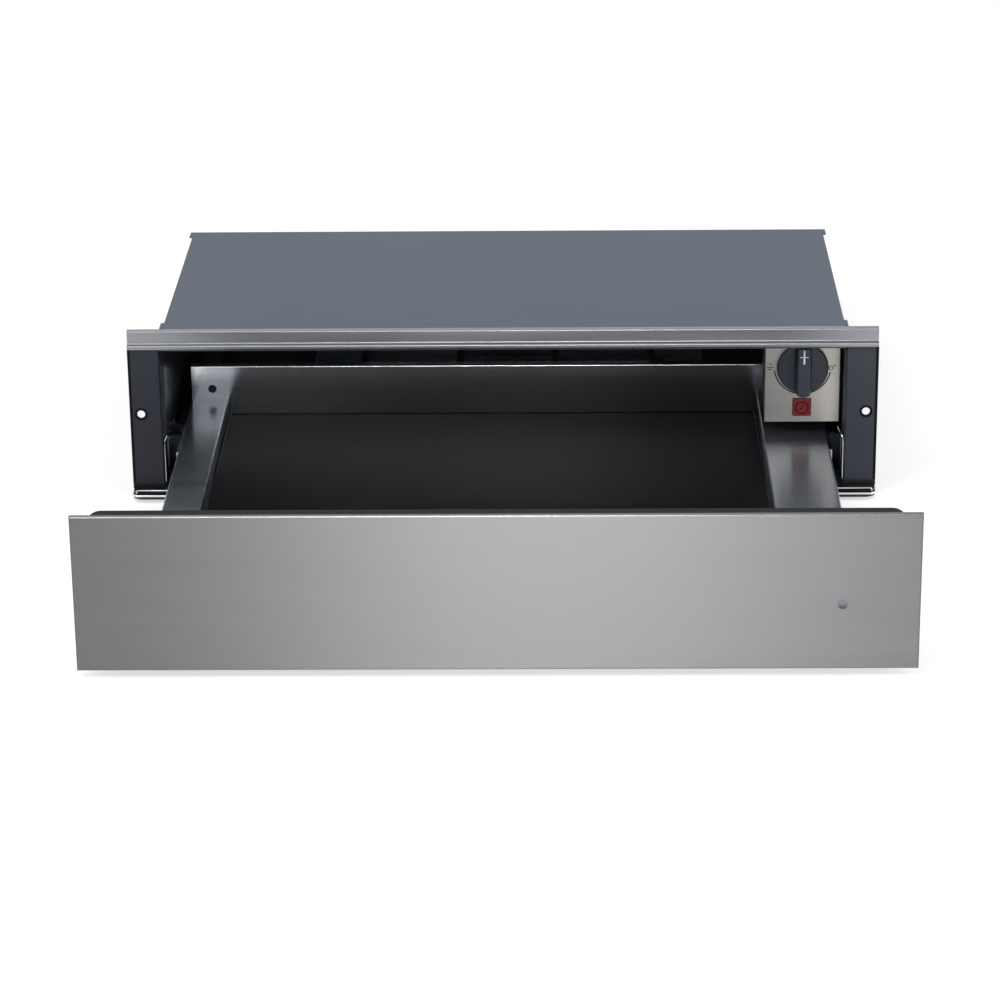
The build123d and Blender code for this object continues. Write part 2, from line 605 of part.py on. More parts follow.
# ---------------------------------------------------------------- heating
half_reflector = reflector_width / 2
with BuildPart() as heat_reflector:
    with BuildSketch(facing(front_y + reflector_front)):
        add(folded([(-half_reflector, sheet), (-half_reflector, reflector_height),
                    (half_reflector, reflector_height), (half_reflector, sheet)]))
    extrude(amount=-(carcass_depth - reflector_back - reflector_front))
save(heat_reflector, "heat_reflector")

# Tubular element: one long tube laid in even hairpins over the reflector.
run_x = [(n - (element_runs - 1) / 2) * element_pitch for n in range(element_runs)]
ends_y = (front_y + element_front, back_y - element_back)
middle_y = (ends_y[0] + ends_y[1]) / 2
exit_y = back_y - element_exit
element_points = [(run_x[0], exit_y, element_z)]
for n, x in enumerate(run_x):
    near, far = (ends_y[0], ends_y[1]) if n % 2 else (ends_y[1], ends_y[0])
    if n > 0:
        element_points.append((x, near, element_z))
    if n < element_runs - 1:
        element_points.append((x, far, element_z))
element_points.append((run_x[-1], exit_y, element_z))
with BuildPart() as heating_element:
    with BuildLine() as element_line:
        FilletPolyline(*element_points, radius=element_bend)
    with BuildSketch(Plane(origin=element_line.line @ 0, z_dir=element_line.line % 0)):
        Circle(element_radius)
    sweep()
save(heating_element, "heating_element")

with BuildPart() as element_supports:
    for y in (middle_y - support_pitch, middle_y, middle_y + support_pitch):
        with BuildSketch(facing(y)):
            with Locations((0, reflector_height)):
                Rectangle(2 * (run_x[-1] + support_margin), element_z - reflector_height,
                          align=(Align.CENTER, Align.MIN))
            with Locations(*[(x, element_z) for x in run_x]):
                Circle(element_radius + support_clearance, mode=Mode.SUBTRACT)
        extrude(amount=support_steel)
save(element_supports, "element_supports")

with BuildPart() as element_terminals:
    for x in (run_x[0], run_x[-1]):
        with BuildSketch(facing(exit_y)):
            with Locations((x, element_z)):
                Circle(ceramic_radius)
        extrude(amount=-ceramic_length)
        with BuildSketch(facing(exit_y + ceramic_length)):
            with Locations((x, element_z)):
                Circle(pin_radius)
        extrude(amount=-pin_length)
save(element_terminals, "element_terminals")

# Thermal cut-out: disc on a small fixing plate, between two runs of the element.
cutout_y = middle_y - support_pitch / 2
cutout_seat = reflector_height + cutout_plate_steel
with BuildPart() as thermal_cutout:
    with BuildSketch(Plane.XY.offset(reflector_height)):
        with Locations((0, cutout_y)):
            SlotOverall(cutout_plate_length, cutout_plate_width, rotation=90)
    extrude(amount=cutout_plate_steel)
    with BuildSketch(Plane.XY.offset(cutout_seat)):
        with Locations((0, cutout_y)):
            Circle(cutout_radius)
    extrude(amount=cutout_height)
    chamfer(thermal_cutout.edges().group_by(Axis.Z)[-1], length=cutout_edge)
    with BuildSketch(Plane.XY.offset(cutout_seat)):
        with Locations((0, cutout_y)):
            with GridLocations(0, cutout_screw_spacing, 1, 2):
                Circle(cutout_screw_radius)
    extrude(amount=cutout_screw_height)
save(thermal_cutout, "thermal_cutout")

# Bulb of the thermostat, held in two saddles on the reflector beside the cut-out.
bulb_x = element_pitch
with BuildPart() as thermostat_bulb:
    with BuildSketch(facing(cutout_y - bulb_length / 2)):
        with Locations((bulb_x, bulb_z)):
            Circle(bulb_radius)
    extrude(amount=-bulb_length)
    chamfer(thermostat_bulb.edges().filter_by(GeomType.CIRCLE), length=bulb_end)
    with BuildSketch(Plane.XY.offset(reflector_height)):
        with Locations((bulb_x, cutout_y)):
            with GridLocations(0, saddle_spacing, 1, 2):
                Rectangle(saddle_width, saddle_length)
    extrude(amount=bulb_z - reflector_height)
save(thermostat_bulb, "thermostat_bulb")

# ---------------------------------------------------------------- mains connection
with BuildPart() as cable_gland:
    with BuildSketch(facing(back_y)):
        with Locations((gland_x, gland_z)):
            Circle(gland_collar)
    extrude(amount=-gland_collar_depth, taper=10)
    chamfer(cable_gland.edges().group_by(Axis.Y)[-1], length=gland_edge)
    with BuildSketch(facing(back_y)):
        with Locations((gland_x, gland_z)):
            Circle(gland_thread)
    extrude(amount=gland_thread_length)
    with BuildSketch(facing(back_y + gland_collar_depth)):
        with Locations((gland_x, gland_z)):
            Circle(gland_bore)
    extrude(amount=gland_collar_depth + gland_thread_length, mode=Mode.SUBTRACT)
save(cable_gland, "cable_gland")

with BuildPart() as gland_nut:
    with BuildSketch(facing(back_y - sheet)):
        with Locations((gland_x, gland_z)):
            RegularPolygon(gland_nut_width / 2, 6, major_radius=False)
            Circle(gland_thread, mode=Mode.SUBTRACT)
    extrude(amount=gland_nut_depth)
save(gland_nut, "gland_nut")

# Terminal block: three screw wells over three wire holes.
block_y = back_y - block_inset
with BuildPart() as terminal_block:
    with BuildSketch(Plane.XY.offset(sheet)):
        with Locations((gland_x, block_y)):
            RectangleRounded(block_width, block_length, block_corner)
    extrude(amount=block_height)
    with BuildSketch(Plane.XY.offset(sheet + block_height)):
        with Locations((gland_x, block_y)):
            with GridLocations(block_pitch, 0, 3, 1):
                Circle(screw_well_radius)
    extrude(amount=-screw_well_depth, mode=Mode.SUBTRACT)
    with BuildSketch(facing(block_y + block_length / 2)):
        with Locations((gland_x, sheet + wire_hole_rise)):
            with GridLocations(block_pitch, 0, 3, 1):
                Circle(wire_hole_radius)
    extrude(amount=wire_hole_depth, mode=Mode.SUBTRACT)
save(terminal_block, "terminal_block")

# ---------------------------------------------------------------- push latch and buffers
plunger_bore = plunger_radius + plunger_gap
bore_depth = latch_length - latch_back_wall
latch_y = back_y - latch_back_gap - latch_length
with BuildPart() as latch_housing:
    with BuildSketch(Plane.XY.offset(sheet)):
        with Locations((latch_x, latch_y)):
            Rectangle(latch_width, latch_length, align=(Align.CENTER, Align.MIN))
    extrude(amount=latch_height - sheet)
    fillet(latch_housing.edges().filter_by(Axis.Z), radius=latch_corner)
    with BuildSketch(facing(latch_y)):
        with Locations((latch_x, latch_z)):
            Circle(plunger_bore)
    extrude(amount=-bore_depth, mode=Mode.SUBTRACT)
save(latch_housing, "latch_housing")

with BuildPart() as latch_plunger:
    plunger_y = latch_y - plunger_reach
    with BuildSketch(facing(plunger_y)):
        with Locations((latch_x, latch_z)):
            Circle(plunger_radius)
    extrude(amount=-(plunger_reach + bore_depth - plunger_travel - plunger_end_gap))
    chamfer(latch_plunger.edges().group_by(Axis.Y)[0], length=plunger_edge)
save(latch_plunger, "latch_plunger")

buffer_reach = back_y - sheet - (tray_back_y + sheet + travel) - striker_gap
with BuildPart() as rear_buffers:
    with BuildSketch(facing(back_y - sheet)):
        with Locations((-buffer_x, buffer_z), (buffer_x, buffer_z)):
            Circle(buffer_radius)
    extrude(amount=buffer_reach, taper=6)
save(rear_buffers, "rear_buffers")

# ---------------------------------------------------------------- drawer tray
pan_left, pan_right = -half_tray + left_ledge, half_tray - right_ledge
tray_length = tray_back_y - tray_front_y
with BuildPart() as drawer_tray:
    with BuildSketch(facing(tray_front_y)):
        add(folded([(-half_skirt, skirt_bottom), (-half_skirt, ledge_under), (-half_tray, ledge_under),
                    (-half_tray, rim_z), (pan_left, rim_z), (pan_left, floor_z), (pan_right, floor_z),
                    (pan_right, rim_z), (half_tray, rim_z), (half_tray, ledge_under),
                    (half_skirt, ledge_under), (half_skirt, skirt_bottom)], bend=tray_bend))
    extrude(amount=-tray_length)
save(drawer_tray, "drawer_tray")

with BuildPart() as tray_back_wall:
    with BuildSketch(Plane.YZ.offset(-half_tray)):
        add(folded([(tray_back_y, floor_z - sheet), (tray_back_y, back_wall_top),
                    (tray_back_y + back_wall_hem, back_wall_top)]))
    extrude(amount=tray_width)
    # Round holes over the brackets' screws, and notches that leave the slides free.
    with BuildSketch(facing(tray_back_y)):
        with Locations((-back_screw_x, back_screw_z), (back_screw_x, back_screw_z)):
            Circle(back_hole_radius)
        with Locations((-half_tray, ledge_under), (half_tray, ledge_under)):
            Rectangle(2 * ledge_overhang, ledge_under, align=(Align.CENTER, Align.MAX))
    extrude(amount=-sheet, mode=Mode.SUBTRACT)
save(tray_back_wall, "tray_back_wall")

# Black plate that lines the bottom of the pan.
with BuildPart() as tray_floor_plate:
    plate_width = pan_right - pan_left - 2 * plate_gap
    with BuildSketch(Plane.XY.offset(floor_z)):
        with Locations(((pan_left + pan_right) / 2, (tray_front_y + tray_back_y) / 2)):
            RectangleRounded(plate_width, tray_length - 2 * plate_gap, plate_corner)
    extrude(amount=plate_thickness)
save(tray_floor_plate, "tray_floor_plate")

# Brackets: at the front they join the tray to the panel, at the rear they stiffen the back wall.
front_screw_heights = (bracket_low + bracket_screw_end, bracket_high - bracket_screw_end)
bracket_x = half_skirt - sheet
for name, side in SIDES:
    with BuildPart() as front_bracket:
        with BuildSketch(Plane.XY.offset(bracket_low)):
            add(folded([(side * (bracket_x - bracket_face), tray_front_y), (side * bracket_x, tray_front_y),
                        (side * bracket_x, tray_front_y + bracket_arm)], thickness=bracket_steel,
                       side=Side.LEFT if side > 0 else Side.RIGHT, bend=bracket_bend))
        extrude(amount=bracket_high - bracket_low)
        with BuildSketch(facing(tray_front_y)):
            with Locations(*[(side * (bracket_x - bracket_screw_inset), z) for z in front_screw_heights]):
                Circle(screw_radius)
        extrude(amount=-bracket_steel, mode=Mode.SUBTRACT)
    save(front_bracket, f"{name}_front_bracket")

    with BuildPart() as rear_bracket:
        with BuildSketch(facing(tray_back_y + sheet)):
            with Locations((side * back_screw_x, back_screw_z)):
                RectangleRounded(rear_bracket_width, rear_bracket_height, rear_bracket_corner)
                Circle(screw_radius, mode=Mode.SUBTRACT)
        extrude(amount=-bracket_steel)
    save(rear_bracket, f"{name}_rear_bracket")

with BuildPart() as front_bracket_screws:
    for side in (-1, 1):
        spots = [(side * (bracket_x - bracket_screw_inset), z) for z in front_screw_heights]
        with BuildSketch(facing(tray_front_y)):
            with Locations(*spots):
                Circle(screw_radius)
        extrude(amount=-bracket_steel)
        with BuildSketch(facing(tray_front_y + bracket_steel)):
            with Locations(*spots):
                Circle(screw_head_radius)
        extrude(amount=-screw_head_height, taper=20)
save(front_bracket_screws, "front_bracket_screws")

with BuildPart() as back_wall_screws:
    back_spots = [(-back_screw_x, back_screw_z), (back_screw_x, back_screw_z)]
    with BuildSketch(facing(tray_back_y + sheet)):
        with Locations(*back_spots):
            Circle(back_hole_radius - back_head_gap)
    extrude(amount=back_head_height)
    with BuildSketch(facing(tray_back_y + sheet)):
        with Locations(*back_spots):
            Circle(screw_radius)
    extrude(amount=-bracket_steel)
    with BuildSketch(facing(tray_back_y)):
        with Locations(*back_spots):
            RegularPolygon(hex_socket_radius, 6)
    extrude(amount=-hex_socket_depth, mode=Mode.SUBTRACT)
save(back_wall_screws, "back_wall_screws")

# Striker under the pan that meets the latch when the drawer is shut.
striker_y = plunger_y - striker_gap - travel
with BuildPart() as latch_striker:
    under = floor_z - sheet
    with BuildSketch(Plane.YZ.offset(latch_x - striker_width / 2)):
        add(folded([(striker_y, latch_z - striker_drop), (striker_y, under), (striker_y - striker_foot, under)],
                   thickness=striker_steel, side=Side.LEFT, bend=striker_bend))
    extrude(amount=striker_width)
save(latch_striker, "latch_striker")

# ---------------------------------------------------------------- drawer front
# Front skin: brushed stainless pan with a hem all round its back.
with BuildPart() as front_skin:
    with BuildSketch(facing(liner_y)):
        with Locations((0, panel_centre_z)):
            Rectangle(panel_width, panel_height)
    extrude(amount=panel_fold)
    fillet(front_skin.faces().sort_by(Axis.Y)[0].edges(), radius=panel_edge)
    with BuildSketch(facing(liner_y - sheet)):
        with Locations((0, panel_centre_z)):
            Rectangle(panel_width - 2 * sheet, panel_height - 2 * sheet)
    extrude(amount=panel_fold - 2 * sheet, mode=Mode.SUBTRACT)
    with BuildSketch(facing(liner_y)):
        with Locations((0, panel_centre_z)):
            Rectangle(panel_width - 2 * panel_hem, panel_height - 2 * panel_hem)
    extrude(amount=sheet, mode=Mode.SUBTRACT)
    with BuildSketch(facing(panel_y)):
        with Locations((lamp_x, lamp_z)):
            Circle(lamp_radius)
    extrude(amount=-sheet, mode=Mode.SUBTRACT)
save(front_skin, "front_skin")

# Stiffening board between the skin and the liner.
core_depth = panel_fold - sheet + liner_thickness - liner_wall - core_gap
with BuildPart() as front_core:
    with BuildSketch(facing(panel_y + sheet)):
        with Locations((0, (liner_bottom + liner_top) / 2)):
            RectangleRounded(liner_width - 2 * (liner_rim + core_gap), liner_height - 2 * (liner_rim + core_gap),
                             liner_corner / 2)
        with Locations((lamp_x, lamp_z)):
            Circle(lamp_holder_radius, mode=Mode.SUBTRACT)
    extrude(amount=-core_depth)
save(front_core, "front_core")

# Liner: black moulding behind the pan, with round corners.
with BuildPart() as front_liner:
    with BuildSketch(facing(tray_front_y)):
        with Locations((0, (liner_bottom + liner_top) / 2)):
            RectangleRounded(liner_width, liner_height, liner_corner)
    extrude(amount=liner_thickness)
    fillet(front_liner.edges().group_by(Axis.Y)[-1], radius=liner_edge)
    with BuildSketch(facing(liner_y)):
        with Locations((0, (liner_bottom + liner_top) / 2)):
            RectangleRounded(liner_width - 2 * liner_rim, liner_height - 2 * liner_rim, liner_corner / 2)
    extrude(amount=-(liner_thickness - liner_wall), mode=Mode.SUBTRACT)
save(front_liner, "front_liner")

# Seal: an arch of soft rubber whose legs press on the flanges, with its top just under the cover.
with BuildPart() as front_gasket:
    seal_top = liner_top - gasket_inset
    with BuildSketch(facing(tray_front_y)):
        with Locations((0, (liner_bottom + seal_top) / 2)):
            RectangleRounded(liner_width - 2 * gasket_inset, seal_top - liner_bottom, liner_corner - gasket_inset)
        with Locations((0, skirt_bottom)):
            Rectangle(2 * (half_tray + gasket_leg_gap), seal_top - gasket_top_band - skirt_bottom,
                      align=(Align.CENTER, Align.MIN), mode=Mode.SUBTRACT)
    extrude(amount=-gasket_depth)
    fillet(front_gasket.faces().sort_by(Axis.Y)[-1].edges(), radius=gasket_edge)
save(front_gasket, "front_gasket")

with BuildPart() as lamp_lens:
    with BuildSketch(facing(panel_y + sheet)):
        with Locations((lamp_x, lamp_z)):
            Circle(lamp_radius - lamp_gap)
    extrude(amount=sheet + lamp_proud)
    fillet(lamp_lens.edges().group_by(Axis.Y)[0], radius=lamp_edge)
save(lamp_lens, "lamp_lens")

with BuildPart() as lamp_holder:
    with BuildSketch(facing(panel_y + sheet)):
        with Locations((lamp_x, lamp_z)):
            Circle(lamp_holder_radius)
    extrude(amount=-lamp_holder_depth)
save(lamp_holder, "lamp_holder")
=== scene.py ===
import bmesh
import bpy
import numpy as np
from mathutils import Matrix, Vector


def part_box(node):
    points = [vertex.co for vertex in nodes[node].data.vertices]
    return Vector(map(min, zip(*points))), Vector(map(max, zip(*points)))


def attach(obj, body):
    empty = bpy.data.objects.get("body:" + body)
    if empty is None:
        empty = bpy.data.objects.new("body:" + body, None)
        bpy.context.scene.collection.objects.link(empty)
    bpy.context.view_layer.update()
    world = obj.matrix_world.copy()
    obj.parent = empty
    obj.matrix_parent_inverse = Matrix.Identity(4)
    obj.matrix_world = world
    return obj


# A built-in warming drawer, pulled out: folded steel carcass, brushed front, tray on ball slides.
# Metres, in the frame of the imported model: +Z up, -Y towards the user, origin under the base plate.
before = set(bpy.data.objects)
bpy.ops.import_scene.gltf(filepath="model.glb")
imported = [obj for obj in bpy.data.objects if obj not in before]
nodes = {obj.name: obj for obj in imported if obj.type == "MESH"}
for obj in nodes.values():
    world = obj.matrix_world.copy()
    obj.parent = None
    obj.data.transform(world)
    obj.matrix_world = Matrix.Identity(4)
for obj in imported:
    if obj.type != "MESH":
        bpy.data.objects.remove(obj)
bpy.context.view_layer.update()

# ---------------------------------------------------------------- carcass sheets
# Base, rear panel, bay roof and step: cold-rolled sheet, folded and riveted together. A thin
# blue-grey coating covers it, with a fine orange peel and a faint slow mottling.


def wire(tree, kind, sockets=(), **settings):
    """Add one node: settings are its properties, sockets maps its inputs to values or outputs."""
    node = tree.nodes.new(kind)
    for name, value in settings.items():
        setattr(node, name, value)
    for name, value in dict(sockets).items():
        if isinstance(value, bpy.types.NodeSocket):
            tree.links.new(value, node.inputs[name])
        else:
            node.inputs[name].default_value = value
    return node


def new_group(name, inputs, outputs):
    """Empty shader node group with the given sockets; gives the tree and its two end nodes."""
    tree = bpy.data.node_groups.new(name, "ShaderNodeTree")
    for label, kind, start in inputs:
        socket = tree.interface.new_socket(label, in_out="INPUT", socket_type=kind)
        if start is not None:
            socket.default_value = start
    for label in outputs:
        tree.interface.new_socket(label, in_out="OUTPUT", socket_type="NodeSocketFloat")
    return tree, tree.nodes.new("NodeGroupInput"), tree.nodes.new("NodeGroupOutput")


# Skin: the small relief of a coating, and the slow mottling of a surface that has been handled.
# Fine and Slow are grains per metre.
skin_tree, skin_in, skin_out = new_group(
    "skin",
    [("Vector", "NodeSocketVector", None), ("Fine", "NodeSocketFloat", 900.0),
     ("Slow", "NodeSocketFloat", 9.0)],
    ["Peel", "Mottle"])
skin_fine = wire(skin_tree, "ShaderNodeTexNoise",
                 {"Vector": skin_in.outputs["Vector"], "Scale": skin_in.outputs["Fine"],
                  "Detail": 2.0, "Roughness": 0.5})
skin_slow = wire(skin_tree, "ShaderNodeTexNoise",
                 {"Vector": skin_in.outputs["Vector"], "Scale": skin_in.outputs["Slow"],
                  "Detail": 5.0, "Roughness": 0.6})
skin_tree.links.new(skin_fine.outputs["Fac"], skin_out.inputs["Peel"])
skin_tree.links.new(skin_slow.outputs["Fac"], skin_out.inputs["Mottle"])


def span(tree, value, low, high, start=0.3, end=0.7):
    """Map a value between start and end onto low to high. Noise lies mostly in 0.3 to 0.7."""
    return wire(tree, "ShaderNodeMapRange",
                {"Value": value, "From Min": start, "From Max": end,
                 "To Min": low, "To Max": high}).outputs[0]


def tint(tree, mask, dark, light):
    """Colour that goes from dark to light with the mask."""
    mix = wire(tree, "ShaderNodeMix", {"Factor": mask}, data_type="RGBA")
    mix.inputs[6].default_value, mix.inputs[7].default_value = (*dark, 1), (*light, 1)
    return mix.outputs[2]


def start_material(name):
    """Material with its shader, and the object coordinates that its patterns read."""
    material = bpy.data.materials.new(name)
    material.use_nodes = True
    tree = material.node_tree
    where = wire(tree, "ShaderNodeTexCoord").outputs["Object"]
    return material, tree, tree.nodes["Principled BSDF"], where


def shade(color, factor):
    """The colour made darker or lighter by a factor."""
    return tuple(min(1.0, part * factor) for part in color)


def coated(name, color, rough, metal=0.0, peel=0.00002, gloss=0.5, spread=0.10, fine=900.0):
    """Painted or moulded surface: relief of depth peel with fine grains per metre, and a slow
    mottling of the colour by spread and of the roughness. gloss is the specular level."""
    material, tree, shader, where = start_material(name)
    skin = wire(tree, "ShaderNodeGroup", node_tree=skin_tree)
    tree.links.new(where, skin.inputs["Vector"])
    skin.inputs["Fine"].default_value = fine
    mottle, relief = skin.outputs["Mottle"], skin.outputs["Peel"]
    color_out = tint(tree, span(tree, mottle, 0, 1),
                     shade(color, 1 - spread), shade(color, 1 + spread))
    tree.links.new(color_out, shader.inputs["Base Color"])
    tree.links.new(span(tree, mottle, rough * 0.94, rough * 1.06), shader.inputs["Roughness"])
    bump = wire(tree, "ShaderNodeBump", {"Height": relief, "Strength": 1.0, "Distance": peel})
    tree.links.new(bump.outputs[0], shader.inputs["Normal"])
    shader.inputs["Metallic"].default_value = metal
    shader.inputs["Specular IOR Level"].default_value = gloss
    return material


def dress(material, *names):
    """Give the material to every slot of these nodes."""
    for name in names:
        mesh = nodes[name].data
        if not mesh.materials:
            mesh.materials.append(material)
        for index in range(len(mesh.materials)):
            mesh.materials[index] = material


sheet_color, sheet_rough = (0.100, 0.120, 0.152), 0.50
sheet_blue = coated("coated_sheet", sheet_color, sheet_rough, peel=0.00001, spread=0.04)
dress(sheet_blue, "base_plate", "rear_panel", "bay_roof", "step_panel")

# ---------------------------------------------------------------- cover
# Flat lid of the same coated sheet, with an even satin face and its two countersunk screws.
# It is folded up at the front to carry the trim.
cover_sheet = coated("cover_sheet", (0.086, 0.105, 0.138), 0.50, gloss=0.2, spread=0.03)
dress(cover_sheet, "top_cover", "cover_screws")

# ---------------------------------------------------------------- trim
# Stainless strip over the opening, rolled with a lip at its foot and held by the cover's
# upstand. The horizontal brushed grain smears every reflection up and down.

# Grain: noise drawn out along one axis. Spacing holds the lines per metre along X, Y and Z,
# and Patch the slower bands.
grain_tree, grain_in, grain_out = new_group(
    "grain",
    [("Vector", "NodeSocketVector", None), ("Spacing", "NodeSocketVector", (40, 3000, 3000)),
     ("Patch", "NodeSocketVector", (4, 60, 60))],
    ["Lines", "Bands"])
for scale, detail, soft, result in (("Spacing", 3.0, 0.65, "Lines"), ("Patch", 4.0, 0.6, "Bands")):
    stretched = wire(grain_tree, "ShaderNodeVectorMath",
                     {0: grain_in.outputs["Vector"], 1: grain_in.outputs[scale]},
                     operation="MULTIPLY")
    noise = wire(grain_tree, "ShaderNodeTexNoise",
                 {"Vector": stretched.outputs[0], "Scale": 1.0, "Detail": detail,
                  "Roughness": soft})
    grain_tree.links.new(noise.outputs["Fac"], grain_out.inputs[result])


def brushed(name, color, rough, depth, spacing=(40, 3200, 3200), patch=(5, 90, 90),
            contrast=0.08, metal=1.0, painted_light=(), stretch=0.0):
    """Brushed metal: fine lines as relief of the given depth, wider bands in tone and gloss.
    Each painted ramp of tone is (axis, place, place, factor, factor): painted light and shade,
    where the tone goes smoothly from the first factor to the second between the two places on the
    axis. stretch is how far the unseen finest lines, which run along X, draw the gloss out across
    them."""
    material, tree, shader, where = start_material(name)
    grain = wire(tree, "ShaderNodeGroup", node_tree=grain_tree)
    tree.links.new(where, grain.inputs["Vector"])
    grain.inputs["Spacing"].default_value, grain.inputs["Patch"].default_value = spacing, patch
    lines, bands = grain.outputs["Lines"], grain.outputs["Bands"]
    both = wire(tree, "ShaderNodeMath", {0: lines, 1: bands}, operation="ADD").outputs[0]
    color_out = tint(tree, span(tree, both, 0, 1, 0.7, 1.3),
                     shade(color, 1 - contrast), shade(color, 1 + contrast))
    for axis, start, end, first, last in painted_light:
        along = wire(tree, "ShaderNodeSeparateXYZ", {0: where}).outputs[axis]
        factor = wire(tree, "ShaderNodeMapRange",
                      {"Value": along, "From Min": start, "From Max": end,
                       "To Min": first, "To Max": last},
                      interpolation_type="SMOOTHSTEP").outputs[0]
        scaled = wire(tree, "ShaderNodeMix", {"Factor": 1.0}, data_type="RGBA",
                      blend_type="MULTIPLY")
        tree.links.new(color_out, scaled.inputs[6])
        tree.links.new(factor, scaled.inputs[7])
        color_out = scaled.outputs[2]
    tree.links.new(color_out, shader.inputs["Base Color"])
    tree.links.new(span(tree, bands, rough * 0.9, rough * 1.1), shader.inputs["Roughness"])
    bump = wire(tree, "ShaderNodeBump", {"Height": lines, "Strength": 1.0, "Distance": depth})
    tree.links.new(bump.outputs[0], shader.inputs["Normal"])
    shader.inputs["Metallic"].default_value = metal
    if stretch:
        shader.inputs["Anisotropic"].default_value = stretch
        tangent = wire(tree, "ShaderNodeTangent", direction_type="RADIAL", axis="X")
        tree.links.new(tangent.outputs[0], shader.inputs["Tangent"])
    return material


long_grain = (25, 4000, 4000)
trim_steel = brushed("trim_stainless", (0.246, 0.250, 0.270), 0.31, 0.000002,
                     spacing=long_grain, contrast=0.04, stretch=0.45)
dress(trim_steel, "top_trim")

# ---------------------------------------------------------------- mounting flanges
# Dark slate semi-gloss paint on folded steel, with a darker copy of it on the left flange as painted
# shade. Each flange has a rubber grommet in its screw hole, a black edge strip pushed on its outer
# edge and a moulded shoe at its foot.
slate = coated("slate_paint", (0.030, 0.034, 0.047), 0.40, gloss=0.35, spread=0.12)
# darker copy of the slate paint: painted shade on the left flange, the screws' own dark colour on the
# tray's back wall
shaded_and_dark_slate = coated("shaded_and_dark_slate_paint", (0.012, 0.014, 0.024), 0.40, gloss=0.35, spread=0.12)
black_moulded = coated("black_moulded", (0.008, 0.009, 0.011), 0.45, peel=0.00003,
                       gloss=0.25, spread=0.15)
rubber = coated("rubber", (0.006, 0.006, 0.007), 0.62, peel=0.00006, gloss=0.10, spread=0.2,
                fine=1400.0)
dress(slate, "right_mounting_flange")
# painted shade: the left flange is given the darker copy of the paint
dress(shaded_and_dark_slate, "left_mounting_flange")


def rounded(width, depth, corner, steps=4):
    """Rounded rectangle: quarter circles of the corner radius about the four corners, each
    drawn in by it."""
    angle = np.radians(np.linspace(0, 90, steps) + 90 * np.arange(4)[:, None]).ravel()
    signs = np.repeat(np.array([(1, 1), (-1, 1), (-1, -1), (1, -1)]), steps, axis=0)
    centres = signs * (width / 2 - corner, depth / 2 - corner)
    return centres + corner * np.stack([np.cos(angle), np.sin(angle)], -1)


def carried(profile, path, up, closed=False):
    """A profile carried along a path: each ring is the path point, plus the profile's first
    coordinate along up x tangent and its second along tangent x that. Open ends are drawn in
    to the path, which closes them."""
    path = np.asarray(path, float)
    ahead = np.roll(path, -1, 0) - np.roll(path, 1, 0) if closed else np.gradient(path, axis=0)
    side = np.cross(np.broadcast_to(up, path.shape), ahead)
    side /= np.linalg.norm(side, axis=1, keepdims=True)
    over = np.cross(ahead, side)
    over /= np.linalg.norm(over, axis=1, keepdims=True)
    rings = (path[:, None] + profile[None, :, :1] * side[:, None]
             + profile[None, :, 1:] * over[:, None])
    if not closed:
        ends = np.repeat(path[[0, -1], None], len(profile), axis=1)
        rings = np.concatenate([ends[:1], rings, ends[1:]])
    return rings, closed, True


def level(places, y, z):
    """Points along X, all at one depth and one height."""
    return np.stack([places, np.full(len(places), y), np.full(len(places), z)], -1)


def turned(profile, centre, axis, closed=False, steps=40):
    """A profile turned round an axis: at angle t a point lies at centre + radius (cos t, sin t)
    across the axis, plus its height along the axis. A closed profile makes a ring."""
    axis = np.asarray(axis, float)
    first = np.cross(axis, (0, 0, 1) if abs(axis[2]) < 0.9 else (1, 0, 0))
    second = np.cross(axis, first)
    angle = np.linspace(0, 2 * np.pi, steps, endpoint=False)
    out = np.cos(angle)[:, None] * first + np.sin(angle)[:, None] * second
    grid = centre + profile[:, None, :1] * out[None] + profile[:, None, 1:] * axis
    return grid, closed, True


def build(name, grids, body, material):
    """One piece from grids of points, each with whether its rows and its columns close on
    themselves. Faces join neighbouring points, points that fall together are merged, and the
    faces are turned outwards."""
    points, faces, count = [], [], 0
    for grid, rows_close, columns_close in grids:
        rows, columns = grid.shape[:2]
        row, column = np.meshgrid(np.arange(rows - (not rows_close)),
                                  np.arange(columns - (not columns_close)), indexing="ij")
        next_row, next_column = (row + 1) % rows * columns, (column + 1) % columns
        quads = np.stack([row * columns + column, row * columns + next_column,
                          next_row + next_column, next_row + column], axis=-1)
        points.append(grid.reshape(-1, 3))
        faces.append(quads.reshape(-1, 4) + count)
        count += rows * columns
    mesh = bpy.data.meshes.new(name)
    mesh.from_pydata(np.concatenate(points).tolist(), [], np.concatenate(faces).tolist())
    work = bmesh.new()
    work.from_mesh(mesh)
    bmesh.ops.remove_doubles(work, verts=work.verts, dist=1e-6)
    bmesh.ops.recalc_face_normals(work, faces=work.faces)
    work.to_mesh(mesh)
    work.free()
    mesh.shade_smooth()
    mesh.set_sharp_from_angle(angle=0.6)
    mesh.materials.append(material)
    item = bpy.data.objects.new(name, mesh)
    bpy.context.scene.collection.objects.link(item)
    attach(item, body)


